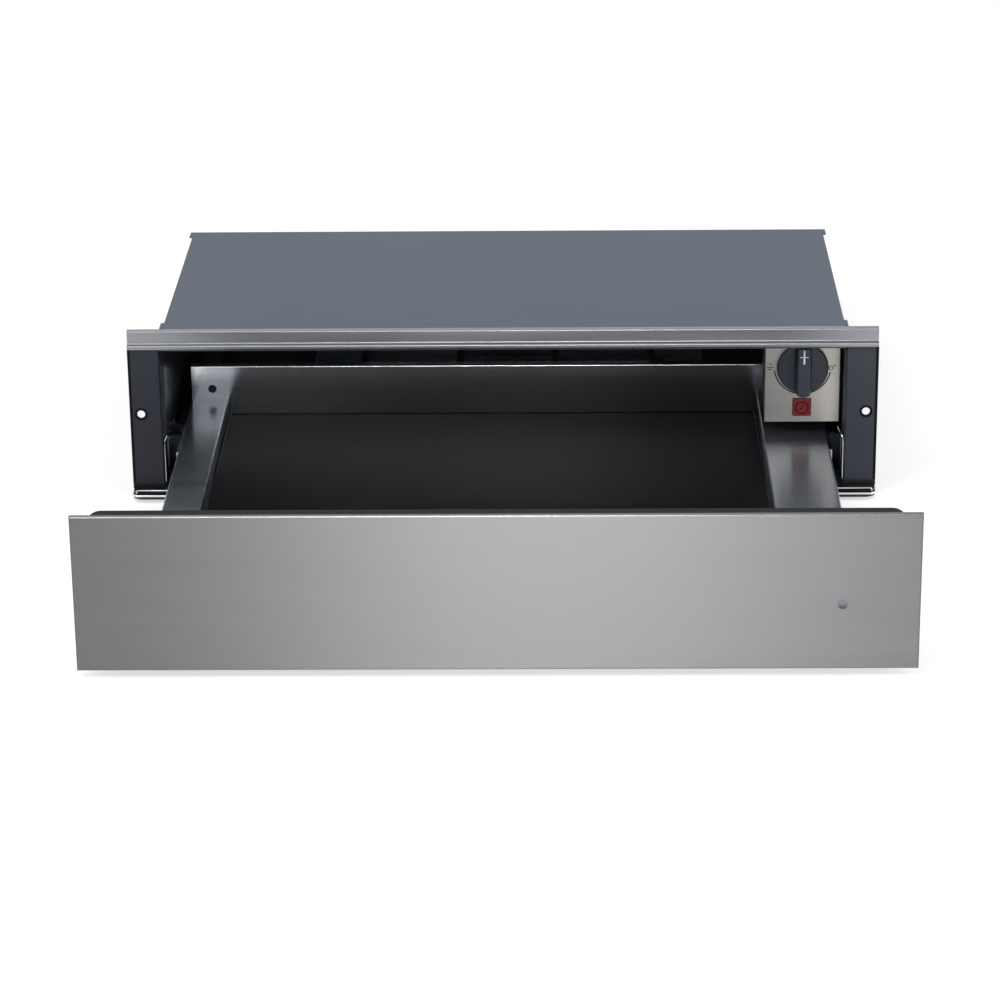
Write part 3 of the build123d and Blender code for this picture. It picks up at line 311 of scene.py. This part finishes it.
toward_user, upward = (0, -1, 0), (0, 0, 1)
flange_low, flange_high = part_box("right_mounting_flange")
hole_x, hole_z = 0.288, 0.0705
face_sink, edge_sink = 0.0005, 0.0006  # middle of the strip behind the face, inside the edge
grommet_radius, grommet_profile = 0.0042, rounded(0.0021, 0.0017, 0.0005)
strip_foot, strip_head = 0.008, 0.0008  # ends of the strip over the foot, under the head
strip_profile = rounded(0.0022, 0.0020, 0.0006)
shoe_inner, shoe_outer = 0.0002, 0.0004  # ends of the shoe, further out than the flange's edges
shoe_behind, shoe_rise = 0.0005, 0.0052  # middle of the shoe behind the strip, over the foot
shoe_profile = rounded(0.0024, 0.0056, 0.0008)
for side, sign in (("left", -1), ("right", 1)):
    face_y, outer_x = flange_low[1] + face_sink, sign * (flange_high[0] - edge_sink)
    build(side + "_flange_grommet",
          [turned(grommet_profile + (grommet_radius, 0), (sign * hole_x, face_y, hole_z),
                  toward_user, closed=True)],
          "carcass", rubber)
    heights = np.linspace(flange_low[2] + strip_foot, flange_high[2] - strip_head, 12)
    strip = np.stack([np.full(12, outer_x), np.full(12, face_y), heights], -1)
    build(side + "_flange_edge_strip", [carried(strip_profile, strip, toward_user)],
          "carcass", rubber)
    places = sign * np.linspace(flange_low[0] + shoe_inner, flange_high[0] + shoe_outer, 8)
    shoe = level(places, face_y + shoe_behind, flange_low[2] + shoe_rise)
    build(side + "_flange_shoe", [carried(shoe_profile, shoe, upward)],
          "carcass", black_moulded)

# ---------------------------------------------------------------- rail
# Rolled steel channel under the opening. Its upper part is painted almost black: painted shade
# under the drawn-out tray. A bright drawn wire, bent into a long closed loop, lies on it round a
# black strip and shows as two lines with round ends.


def disc(radius, steps=12):
    """Circle: radius times (cos, sin) of equal angles."""
    angle = np.linspace(0, 2 * np.pi, steps, endpoint=False)
    return radius * np.stack([np.cos(angle), np.sin(angle)], -1)


rail_low, rail_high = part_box("bottom_rail")
# painted shade: the rail's upper part, under the drawn-out tray, is painted almost black
shade_foot, shade_head = 0.0028, 0.0036  # the tone turns black between these heights
rail_steel = brushed("rail_steel", (0.70, 0.70, 0.71), 0.30, 0.00003, spacing=(60, 1800, 1800),
                     painted_light=[("Z", shade_foot, shade_head, 1.0, 0.06)])
dress(rail_steel, "bottom_rail")
bright = brushed("bright_wire", (0.70, 0.70, 0.71), 0.14, 0.00002, spacing=(60, 1800, 1800))
wire_radius = 0.0009
wire_front, wire_back = rail_low[1] + 0.0001, rail_low[1] + 0.0085
wire_end = rail_high[0] - 0.0046  # where the straight runs end and the bends begin
wire_drop, wire_slope = 0.0008, 0.0012  # front run under the rail's top, back run over the front
loop_radius, loop_y = (wire_back - wire_front) / 2, (wire_back + wire_front) / 2
bend = np.radians(np.linspace(-90, 90, 13))
run = np.linspace(-wire_end, wire_end, 40)[1:-1]
loop = np.concatenate([
    np.stack([run, np.full(38, wire_front)], -1),
    np.stack([wire_end + loop_radius * np.cos(bend), loop_y + loop_radius * np.sin(bend)], -1),
    np.stack([run[::-1], np.full(38, wire_back)], -1),
    np.stack([-wire_end - loop_radius * np.cos(bend), loop_y - loop_radius * np.sin(bend)], -1)])
loop_rise = wire_slope * (loop[:, 1] - wire_front) / (wire_back - wire_front)
loop = np.column_stack([loop, rail_high[2] - wire_drop + loop_rise])
build("rail_wire", [carried(disc(wire_radius), loop, upward, closed=True)],
      "carcass", bright)
filler_reach, filler_drop = wire_end + 0.0012, 0.0004
filler_places = np.linspace(-filler_reach, filler_reach, 40)
filler = level(filler_places, loop_y, rail_high[2] - filler_drop)
filler_profile = rounded(2 * (loop_radius - wire_radius), 0.0012, 0.0004)
build("rail_strip", [carried(filler_profile, filler, upward)], "carcass", rubber)

# ---------------------------------------------------------------- walls
# The side walls are of the same sheet, coated outside and left bright inside. A springy wire
# beside the slide stands up behind each flange and is bent back over the outer slide's end.
bare_reach, coated_reach = 0.2730, 0.2732  # from the middle plane: inner and outer side of a wall
bare_color, bare_metal, bare_rough = (0.42, 0.45, 0.49, 1), 0.95, 0.22
wall_sheet = coated("wall_sheet", sheet_color, sheet_rough, peel=0.00001, spread=0.04)
tree = wall_sheet.node_tree
shader = tree.nodes["Principled BSDF"]
where = wire(tree, "ShaderNodeTexCoord").outputs["Object"]
across = wire(tree, "ShaderNodeSeparateXYZ", {0: where}).outputs["X"]
distance = wire(tree, "ShaderNodeMath", {0: across}, operation="ABSOLUTE").outputs[0]
bare = span(tree, distance, 1, 0, bare_reach, coated_reach)
paint = shader.inputs["Base Color"].links[0].from_socket
face = wire(tree, "ShaderNodeMix", {"Factor": bare}, data_type="RGBA")
tree.links.new(paint, face.inputs[6])
face.inputs[7].default_value = bare_color
tree.links.new(face.outputs[2], shader.inputs["Base Color"])
tree.links.new(span(tree, bare, 0, bare_metal, 0, 1), shader.inputs["Metallic"])
tree.links.new(span(tree, bare, sheet_rough, bare_rough, 0, 1), shader.inputs["Roughness"])
dress(wall_sheet, "left_wall", "right_wall")
guard_line = np.array([
    (0.2706, -0.2288, 0.0130), (0.2706, -0.2288, 0.0300), (0.2706, -0.2288, 0.0440),
    (0.2704, -0.2284, 0.0470), (0.2697, -0.2270, 0.0490), (0.2687, -0.2245, 0.0505),
    (0.2677, -0.2205, 0.0515), (0.2670, -0.2150, 0.0520)])
guard_radius, guard_up = 0.00045, (0.3, 1, 0.2)  # an up that no stretch of the wire runs along
for side, sign in (("left", -1), ("right", 1)):
    build(side + "_guard_wire",
          [carried(disc(guard_radius, 8), guard_line * (sign, 1, 1), guard_up)],
          "carcass", bright)

# ---------------------------------------------------------------- slides and brackets
# Two-member ball slides on spacers, and the brackets that screw the tray to the front. Cold-formed
# zinc-plated steel: a cool bright grey with a fine spangle and rolling lines along Y.
zinc = brushed("zinc_plate", (0.44, 0.46, 0.49), 0.30, 0.000012, spacing=(1500, 40, 1500),
               patch=(90, 30, 90))
dress(zinc, "left_outer_slide", "right_outer_slide", "left_inner_slide", "right_inner_slide",
      "left_ball_cage", "right_ball_cage", "left_slide_spacers", "right_slide_spacers",
      "left_front_bracket", "right_front_bracket", "front_bracket_screws",
      "left_rear_bracket", "right_rear_bracket")
dress(bright, "left_slide_balls", "right_slide_balls")

# ---------------------------------------------------------------- heating
# Aluminised reflector on the base, and over it a dark oxidised tubular element with white ceramic
# ends, held in zinc-plated combs. The cut-out and the thermostat's bulb lie between its runs.
dress(brushed("aluminised_sheet", (0.66, 0.67, 0.68), 0.50, 0.00003, patch=(60, 60, 60)),
      "heat_reflector")
dress(coated("oxidised_tube", (0.16, 0.145, 0.13), 0.42, metal=0.9, spread=0.35),
      "heating_element")
dress(coated("ceramic", (0.76, 0.74, 0.69), 0.22, spread=0.04), "element_terminals")
dress(zinc, "element_supports")
dress(black_moulded, "thermal_cutout")
dress(bright, "thermostat_bulb")

# ---------------------------------------------------------------- inlet
# Moulded cable gland, held in the rear panel by its nut, and the terminal block inside. The
# gland's collar has grip ribs all round, and a rubber sleeve lines its bore.
dress(black_moulded, "cable_gland", "gland_nut")
pale_moulded = coated("pale_moulded", (0.66, 0.64, 0.59), 0.38, spread=0.05)
dress(pale_moulded, "terminal_block")
backward = (0, 1, 0)
gland_low, gland_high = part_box("cable_gland")
gland_axis = np.array([(gland_low[0] + gland_high[0]) / 2, 0,
                       (gland_low[2] + gland_high[2]) / 2])
rib_radii = np.array([0.00870, 0.00835, 0.00795, 0.00760])[:, None]
rib_places = np.array([0.2306, 0.2332, 0.2356, 0.2376])[:, None]
ribs = []
for turn in np.radians(np.arange(0, 360, 30)):
    out = np.array([np.cos(turn), 0, np.sin(turn)])
    ribs.append(carried(rounded(0.0012, 0.0010, 0.0004),
                        gland_axis + rib_radii * out + rib_places * backward, out))
build("gland_ribs", ribs, "carcass", black_moulded)
sleeve_radius, sleeve_middle = 0.0035, 0.2318
sleeve_profile = rounded(0.0010, 0.0150, 0.0004) + (sleeve_radius, 0)
build("gland_sleeve",
      [turned(sleeve_profile, gland_axis + (0, sleeve_middle, 0), backward, closed=True)],
      "carcass", rubber)

# ---------------------------------------------------------------- rear fastenings
# A small pressed plate strengthens the back round the gland. It and the sheets of the bay are
# held by zinc-plated pan-head screws with a cross recess, the walls by rivets.


def pan_head(centre, axis, radius=0.0034, height=0.0020):
    """Screw head on a polar grid: height h (1 - r^4)^(1/2) over the relative radius r, less
    0.4 h in the two crossed slots within 0.55 of the radius."""
    reach = np.concatenate([np.linspace(0, 0.6, 9), np.array([0.7, 0.8, 0.88, 0.94, 0.98, 1.0])])
    angle = np.linspace(0, 2 * np.pi, 48, endpoint=False)
    across, over = reach[:, None] * np.cos(angle), reach[:, None] * np.sin(angle)
    slots = (np.minimum(abs(across), abs(over)) < 0.11) & (reach[:, None] < 0.55)
    rise = height * np.sqrt(1 - reach[:, None] ** 4) - 0.4 * height * slots
    axis = np.asarray(axis, float)
    first = np.cross(axis, (1, 0, 0))
    second = np.cross(axis, first)
    grid = (centre + radius * (across[..., None] * first + over[..., None] * second)
            + rise[..., None] * axis)
    base = np.repeat(np.asarray(centre, float)[None, None], 48, axis=1)
    return np.concatenate([grid, base]), False, True


rear_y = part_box("rear_panel")[1][1]
plate_width, plate_height, plate_corner = 0.062, 0.030, 0.005
plate_middle = gland_axis + (-0.010, rear_y, 0.0065)
outline = rounded(plate_width, plate_height, plate_corner, steps=8)
# Rings of the plate from its edge inwards: share of the outline, and height over the panel
plate_rings = np.array([(0.0, 0.0), (1.0, 0.0), (0.992, 0.0007), (0.972, 0.0010),
                        (0.90, 0.0010), (0.86, 0.0015), (0.80, 0.0016), (0.0, 0.0016)])
share, lift = plate_rings[:, 0], np.repeat(plate_rings[:, 1:], len(outline), axis=1)
plate = np.stack([np.multiply.outer(share, outline[:, 0]), lift,
                  np.multiply.outer(share, outline[:, 1])], -1) + plate_middle
build("inlet_plate", [(plate, False, True)], "carcass", sheet_blue)
plate_screw_x, plate_screw_lift, plate_screw_z = 0.021, 0.0015, 0.006  # from plate_middle
build("inlet_plate_screws",
      [pan_head(plate_middle + (x, plate_screw_lift, plate_screw_z), backward)
       for x in (-plate_screw_x, plate_screw_x)],
      "carcass", zinc)
panel_screw_columns, panel_screw_rows = (-0.262, -0.087, 0.087, 0.262), (0.008, 0.066)
panel_screw_sink = 0.0001
build("rear_panel_screws",
      [pan_head((x, rear_y - panel_screw_sink, z), backward)
       for x in panel_screw_columns for z in panel_screw_rows],
      "carcass", zinc)
step_low, step_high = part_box("step_panel")
step_screw_columns, step_screw_inset, step_sheet = (-0.24, -0.08, 0.08, 0.24), 0.006, 0.0009
build("step_panel_screws",
      [pan_head((x, step_high[1] - step_screw_inset, step_low[2] + step_sheet), upward)
       for x in step_screw_columns],
      "carcass", zinc)
dress(zinc, "carcass_rivets")

# ---------------------------------------------------------------- latch and buffers
# Push latch behind the tray: a black moulded housing with a pale plunger, which the zinc-plated
# striker under the tray meets. Two rubber buffers on the rear panel stop the tray.
dress(black_moulded, "latch_housing")
dress(pale_moulded, "latch_plunger")
dress(zinc, "latch_striker")
dress(rubber, "rear_buffers")

# ---------------------------------------------------------------- tray
# Folded pan of dark polished steel, brushed from side to side, with a black plate inside. The
# ledges are almost a mirror, and draw the fascia out into streaks. The back wall is screwed on.
dress(brushed("tray_steel", (0.31, 0.335, 0.38), 0.22, 0.00002, contrast=0.06, metal=0.9,
              stretch=0.75), "drawer_tray")
wall_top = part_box("tray_back_wall")[1][2]
# painted reflection and highlight: the back wall's tone darkens from its left end towards its right
# end, and a lighter band runs along its top edge
dress(brushed("back_wall_steel", (0.60, 0.615, 0.64), 0.18, 0.00001, contrast=0.05,
              painted_light=[("X", -0.20, -0.06, 1.0, 0.68), ("X", 0.02, 0.16, 1.0, 0.5),
                     ("Z", wall_top - 0.018, wall_top - 0.002, 1.0, 1.7)],
              stretch=0.6), "tray_back_wall")
dress(shaded_and_dark_slate, "back_wall_screws")
dress(coated("black_plate", (0.005, 0.005, 0.006), 0.36, gloss=0.03, spread=0.25),
      "tray_floor_plate")

# ---------------------------------------------------------------- drawer front
# Folded pan of brushed stainless sheet over a stiffening board, with a rod along its upper fold and a
# black moulded liner and a seal behind it. The sheet is darker towards its left end as a painted
# reflection, and the rod is painted lighter than the sheet as a highlight that fades towards the
# right. The small signal lamp is a lens in a black holder, with painted shade at its foot and
# painted light at its top.
# painted reflection: the sheet's tone is darker towards its left end
front_steel = brushed("front_stainless", (0.184, 0.182, 0.183), 0.36, 0.00003,
                      spacing=long_grain, contrast=0.03,
                      painted_light=[("X", -0.32, 0.0, 0.78, 1.0)], stretch=0.9)
dress(front_steel, "front_skin")
dress(coated("liner_plastic", (0.012, 0.013, 0.015), 0.50, peel=0.00003, gloss=0.05,
             spread=0.12), "front_liner")
dress(rubber, "front_gasket")
dress(coated("board", (0.42, 0.36, 0.28), 0.7, spread=0.15), "front_core")
dress(black_moulded, "lamp_holder")
# painted shade and light: the lens is darker at its foot and lighter at its top
lens_shadow, lens_light = (0.045, 0.055, 0.075), (0.19, 0.215, 0.245)
lens_low, lens_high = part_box("lamp_lens")
shadow_rise, light_drop = 0.0012, 0.0022  # the tone changes between these insets from the rim
lens = coated("lamp_lens", lens_light, 0.12)
tree = lens.node_tree
where = wire(tree, "ShaderNodeTexCoord").outputs["Object"]
height = wire(tree, "ShaderNodeSeparateXYZ", {0: where}).outputs["Z"]
lens_shade_mask = span(tree, height, 0, 1, lens_low[2] + shadow_rise, lens_high[2] - light_drop)
tree.links.new(tint(tree, lens_shade_mask, lens_shadow, lens_light),
               tree.nodes["Principled BSDF"].inputs["Base Color"])
dress(lens, "lamp_lens")
# painted highlight: a rod along the skin's top fold, lighter than the skin, that fades towards the
# right
fold_highlight_steel = brushed("fold_highlight_steel", (0.44, 0.44, 0.45), 0.24, 0.000004, spacing=long_grain,
                     painted_light=[("X", -0.10, 0.25, 1.0, 0.40)])
skin_low, skin_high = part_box("front_skin")
fold_radius, fold_sink, fold_inset = 0.0006, 0.00045, 0.0008
fold_places = np.linspace(skin_low[0] + fold_inset, skin_high[0] - fold_inset, 60)
fold = level(fold_places, skin_low[1] + fold_sink, skin_high[2] - fold_sink)
build("front_fold_highlight", [carried(disc(fold_radius, 10), fold, upward)],
      "drawer", fold_highlight_steel)

# ---------------------------------------------------------------- control plate
# Brushed stainless plate with its folded housing, and the thermostat and switch behind it. The
# dial print is a dark line round the lower part of the knob, a line at its low end and a ring
# at its high end.
# painted reflection: the plate's tone is lighter towards its foot and darker towards its top
dress(brushed("fascia_stainless", (0.49, 0.468, 0.432), 0.34, 0.00001, spacing=(20, 4000, 4000),
              contrast=0.03, painted_light=[("Z", 0.080, 0.112, 1.12, 0.90)], stretch=0.25),
      "control_fascia", "control_box")
dress(pale_moulded, "thermostat_body")
dress(black_moulded, "switch_body")
print_ink = coated("print_ink", (0.010, 0.010, 0.012), 0.6, gloss=0.1)
print_lift = 0.00004  # middle of the ink in front of the face
print_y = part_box("control_fascia")[0][1] - print_lift
knob_low, knob_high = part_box("control_knob")
knob_x, knob_z = (knob_low[0] + knob_high[0]) / 2, 0.0972


def arc(middle, radius, start, stop, steps=60):
    """Points of a circle in the plate's plane: middle + radius (cos, sin) from start to stop,
    in degrees."""
    angle = np.radians(np.linspace(start, stop, steps))
    return np.stack([middle[0] + radius * np.cos(angle), np.full(steps, middle[1]),
                     middle[2] + radius * np.sin(angle)], -1)


def straight(first, last):
    """Points of a straight stroke in the plate's plane, between two (x, z) places in
    millimetres."""
    ends = np.linspace(first, last, 4) / 1000
    return np.stack([ends[:, 0], np.full(4, print_y), ends[:, 1]], -1)


line = rounded(0.0010, 0.00012, 0.00005, steps=3)
thin_line = rounded(0.0006, 0.00012, 0.00005, steps=3)
dial_radius, dial_low, dial_high = 0.0225, 187, 349  # degrees, anticlockwise from the right
dial = arc((knob_x, print_y, knob_z), dial_radius, dial_low, dial_high)
ring_x, ring_z, ring_radius = 0.2619, 0.0964, 0.0016
ring = arc((ring_x, print_y, ring_z), ring_radius, 0, 360, 25)[:-1]
strokes = (((210.6, 97.1), (216.4, 97.1)), ((213.6, 98.9), (213.6, 100.9)),
           ((211.6, 95.4), (214.8, 95.4)), ((263.6, 98.6), (266.2, 98.6)))
build("dial_print",
      [carried(line, dial, toward_user), carried(thin_line, ring, toward_user, closed=True)]
      + [carried(thin_line, straight(first, last), toward_user) for first, last in strokes],
      "carcass", print_ink)

# ---------------------------------------------------------------- knob and button
# Satin dark plastic knob on the thermostat's zinc-plated shaft, with a white line let in. Below it
# sits the red switch cap, moulded, with a printed ring and stroke.
dress(coated("knob_plastic", (0.030, 0.036, 0.052), 0.34, peel=0.00001, spread=0.08),
      "control_knob")
dress(coated("white_mark", (0.80, 0.82, 0.85), 0.3, spread=0.02), "knob_index")
dress(zinc, "thermostat_shaft")
dress(coated("red_cap", (0.24, 0.012, 0.018), 0.25), "power_button")
cap_low, cap_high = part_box("power_button")
cap = np.array([(cap_low[0] + cap_high[0]) / 2, cap_low[1] - print_lift,
                (cap_low[2] + cap_high[2]) / 2])
cap_ring_radius = 0.0049
cap_ring = arc(cap, cap_ring_radius, 0, 360, 41)[:-1]
cap_stroke = cap + np.linspace((-0.0016, 0, -0.0018), (0.0018, 0, 0.0022), 4)
build("button_symbol",
      [carried(line, cap_ring, toward_user, closed=True), carried(line, cap_stroke, toward_user)],
      "button", print_ink)

# ---------------------------------------------------------------- floor, light and camera
# Pale studio floor that shows white and keeps the shadow, three soft lamps, and a long lens that
# looks down by 21 degrees.
floor_reach, floor_drop = 30.0, 0.0005
corners = [(-floor_reach, -floor_reach, 0), (floor_reach, -floor_reach, 0),
           (floor_reach, floor_reach, 0), (-floor_reach, floor_reach, 0)]
floor_mesh = bpy.data.meshes.new("floor")
floor_mesh.from_pydata(corners, [], [(0, 1, 2, 3)])
floor = bpy.data.objects.new("floor", floor_mesh)
bpy.context.scene.collection.objects.link(floor)
floor.location.z = -floor_drop


def seen_directly(tree):
    """1 for camera, glossy and transmission rays, 0 for the rays that carry soft light."""
    path = wire(tree, "ShaderNodeLightPath")
    first = wire(tree, "ShaderNodeMath",
                 {0: path.outputs["Is Camera Ray"], 1: path.outputs["Is Glossy Ray"]},
                 operation="MAXIMUM")
    return wire(tree, "ShaderNodeMath",
                {0: first.outputs[0], 1: path.outputs["Is Transmission Ray"]},
                operation="MAXIMUM").outputs[0]


floor_tone, floor_glow, studio_light = (0.5, 0.5, 0.5, 1), 0.64, 0.55
white = (1, 1, 1, 1)
floor_material = bpy.data.materials.new("floor")
floor_material.use_nodes = True
tree = floor_material.node_tree
shader = tree.nodes["Principled BSDF"]
shader.inputs["Base Color"].default_value = floor_tone
shader.inputs["Roughness"].default_value = 0.9
shader.inputs["Specular IOR Level"].default_value = 0.0
shader.inputs["Emission Color"].default_value = white
glow = wire(tree, "ShaderNodeMath", {0: seen_directly(tree), 1: floor_glow},
            operation="MULTIPLY")
tree.links.new(glow.outputs[0], shader.inputs["Emission Strength"])
floor_mesh.materials.append(floor_material)

world = bpy.data.worlds.new("studio")
bpy.context.scene.world = world
world.use_nodes = True
tree = world.node_tree
background = tree.nodes["Background"]
glow = wire(tree, "ShaderNodeMapRange",
            {"Value": seen_directly(tree), "To Min": studio_light, "To Max": 1.0})
tree.links.new(glow.outputs[0], background.inputs["Strength"])
background.inputs["Color"].default_value = white


def soft_lamp(name, place, target, width, height, power):
    """Rectangular area lamp at place, turned towards target."""
    data = bpy.data.lights.new(name, "AREA")
    data.shape, data.size, data.size_y, data.energy = "RECTANGLE", width, height, power
    lamp = bpy.data.objects.new(name, data)
    bpy.context.scene.collection.objects.link(lamp)
    lamp.location = place
    lamp.rotation_mode = "QUATERNION"
    lamp.rotation_quaternion = (Vector(target) - Vector(place)).to_track_quat("-Z", "Y")


centre = (0.0, -0.3, 0.08)
soft_lamp("key", (-1.4, -1.8, 2.4), centre, 1.6, 1.6, 38)
soft_lamp("fill", (1.8, -1.4, 1.6), centre, 1.8, 1.8, 20)
soft_lamp("front", (0.04, -3.6, 0.42), (0.04, -0.58, 0.42), 0.68, 0.7, 31)

camera_place = Vector((0.0446, -2.8463, 1.01505))
camera_yaw, camera_pitch, camera_roll = np.radians((-1.044, 21.276, -0.601))
picture_width, focal_pixels, film = 1000, 3500, 36.0
ahead = Vector((np.sin(camera_yaw) * np.cos(camera_pitch),
                np.cos(camera_yaw) * np.cos(camera_pitch), -np.sin(camera_pitch)))
level_right = Vector((np.cos(camera_yaw), -np.sin(camera_yaw), 0))
level_up = level_right.cross(ahead)
right = level_right * np.cos(camera_roll) + level_up * np.sin(camera_roll)
up = level_up * np.cos(camera_roll) - level_right * np.sin(camera_roll)
camera_data = bpy.data.cameras.new("camera")
camera_data.sensor_width, camera_data.lens = film, film * focal_pixels / picture_width
camera_data.clip_start, camera_data.clip_end = 0.05, 60
camera = bpy.data.objects.new("camera", camera_data)
bpy.context.scene.collection.objects.link(camera)
camera_turn = Matrix((right, up, -ahead)).transposed().to_4x4()
camera.matrix_world = Matrix.Translation(camera_place) @ camera_turn
bpy.context.scene.camera = camera
bpy.context.scene.view_settings.view_transform = "Standard"
